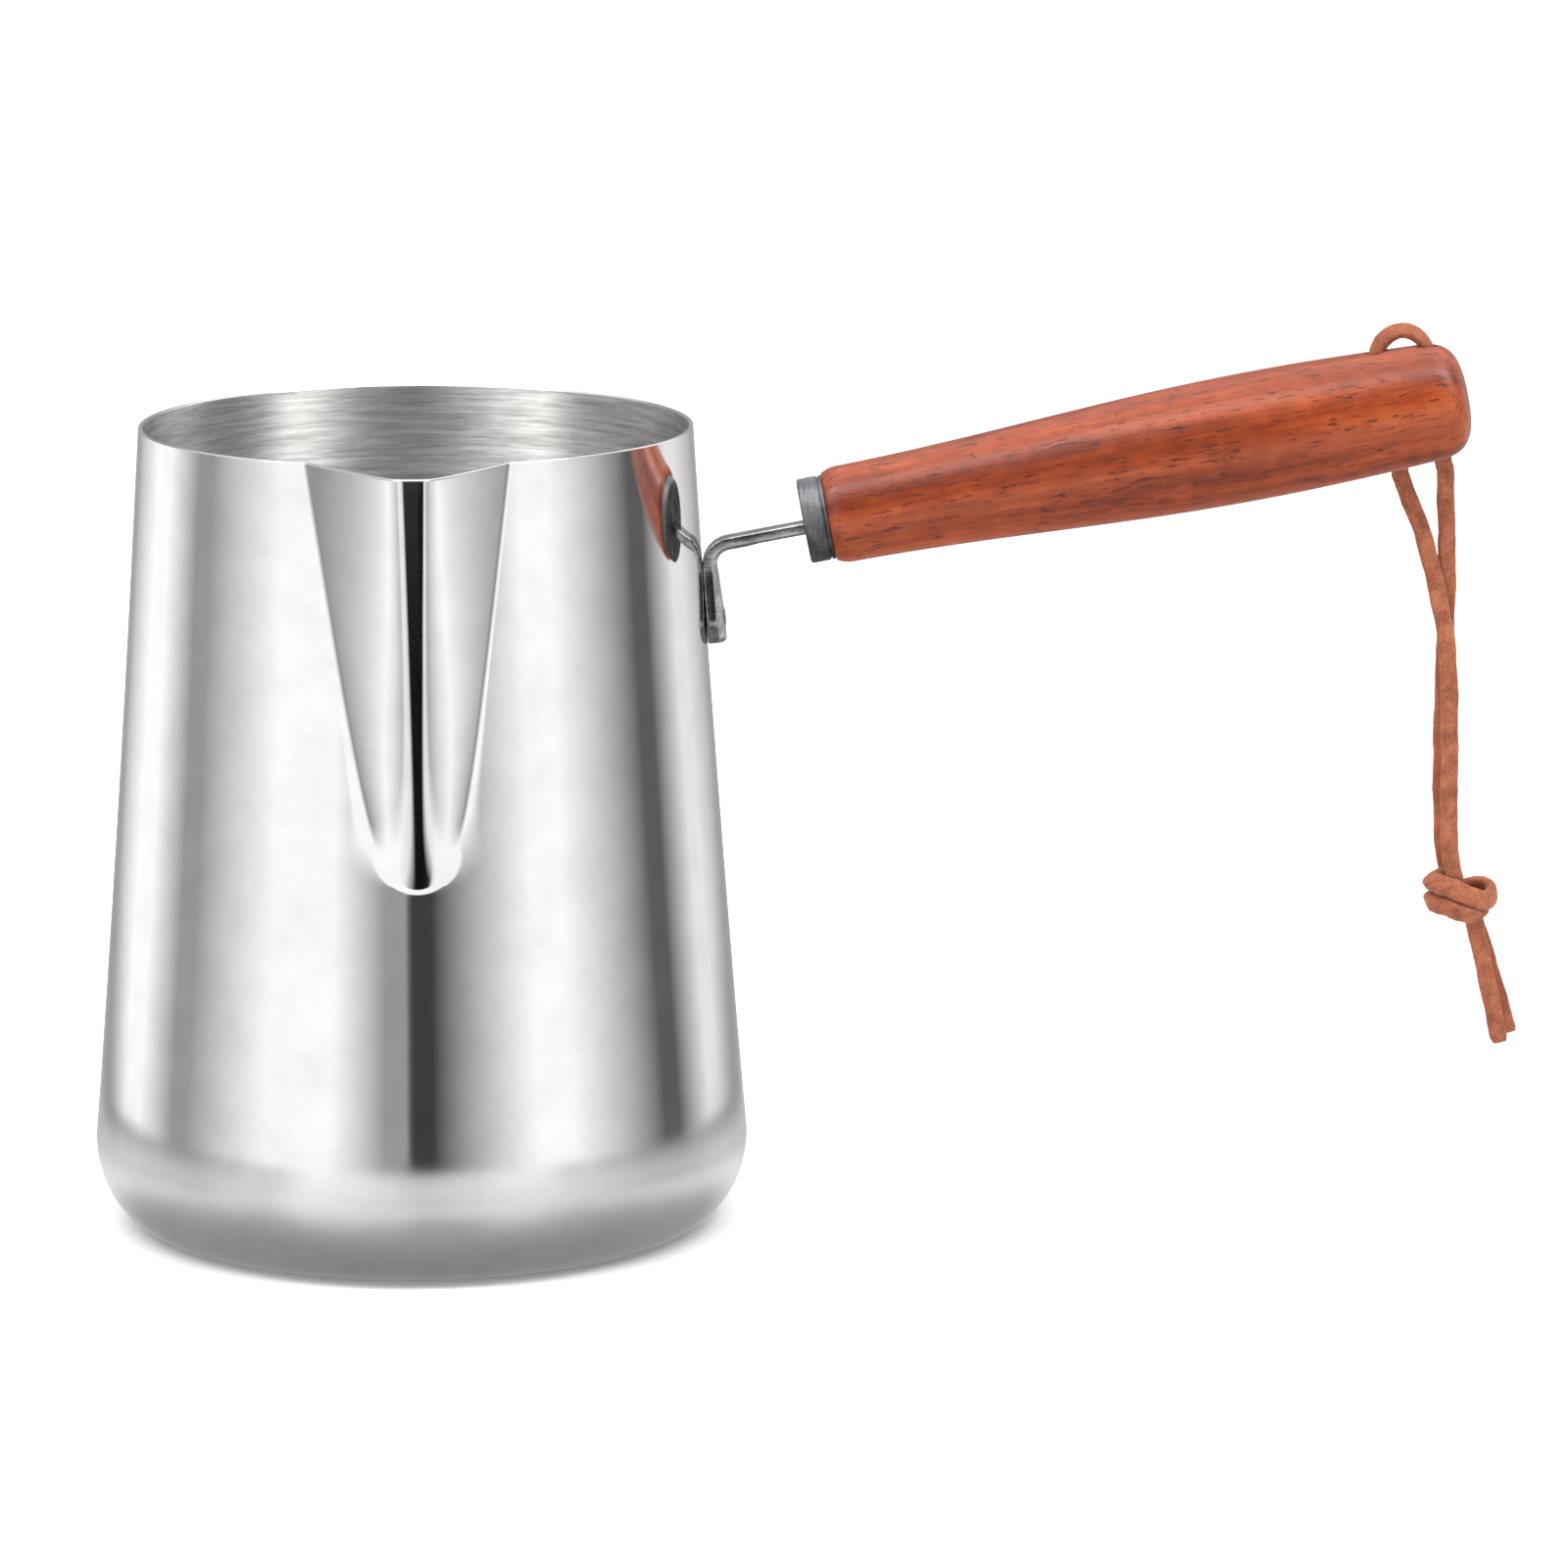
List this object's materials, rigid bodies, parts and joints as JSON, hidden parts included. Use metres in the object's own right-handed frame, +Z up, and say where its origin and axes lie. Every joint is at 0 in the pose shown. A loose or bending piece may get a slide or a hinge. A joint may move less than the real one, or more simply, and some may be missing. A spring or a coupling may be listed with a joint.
{
  "type": "turkish coffee pot",
  "caption": "Stainless steel coffee pot, narrower at its rim, with a V pouring spout, a tilted wooden side handle on a steel strap and a hanging suede lace.",
  "frame": {"origin": "centre of the pot's flat base, on the surface it stands on", "axes": "+Z up along the pot's axis, +X towards the end of the handle, -Y towards the pouring spout"},
  "size_m": [0.2192, 0.1061, 0.138],
  "materials": {
    "polished_steel": "mirror polished stainless steel, brushed inside",
    "strap_steel": "rolled stainless steel strip",
    "ferrule_steel": "turned and brushed steel",
    "grip_wood": "stained and oiled hardwood",
    "suede": "split suede, napped"
  },
  "bodies": {
    "pot": {"pot_body": "polished_steel", "pouring_spout": "polished_steel", "handle_arm": "strap_steel", "arm_rivet": "strap_steel", "ferrule": "ferrule_steel", "grip": "grip_wood", "lace_bight": "suede"},
    "lanyard": {"lace_strand_front": "suede", "lace_strand_back": "suede", "lace_knot": "suede", "lace_tail_front": "suede", "lace_tail_back": "suede"}
  },
  "joints": [
    {"name": "lanyard_swing", "type": "hinge", "parent": "pot", "child": "lanyard", "pos_m": [0.15295, 0, 0.11464], "axis": [0.9825, 0, 0.1865], "range_deg": [-60, 60]}
  ]
}
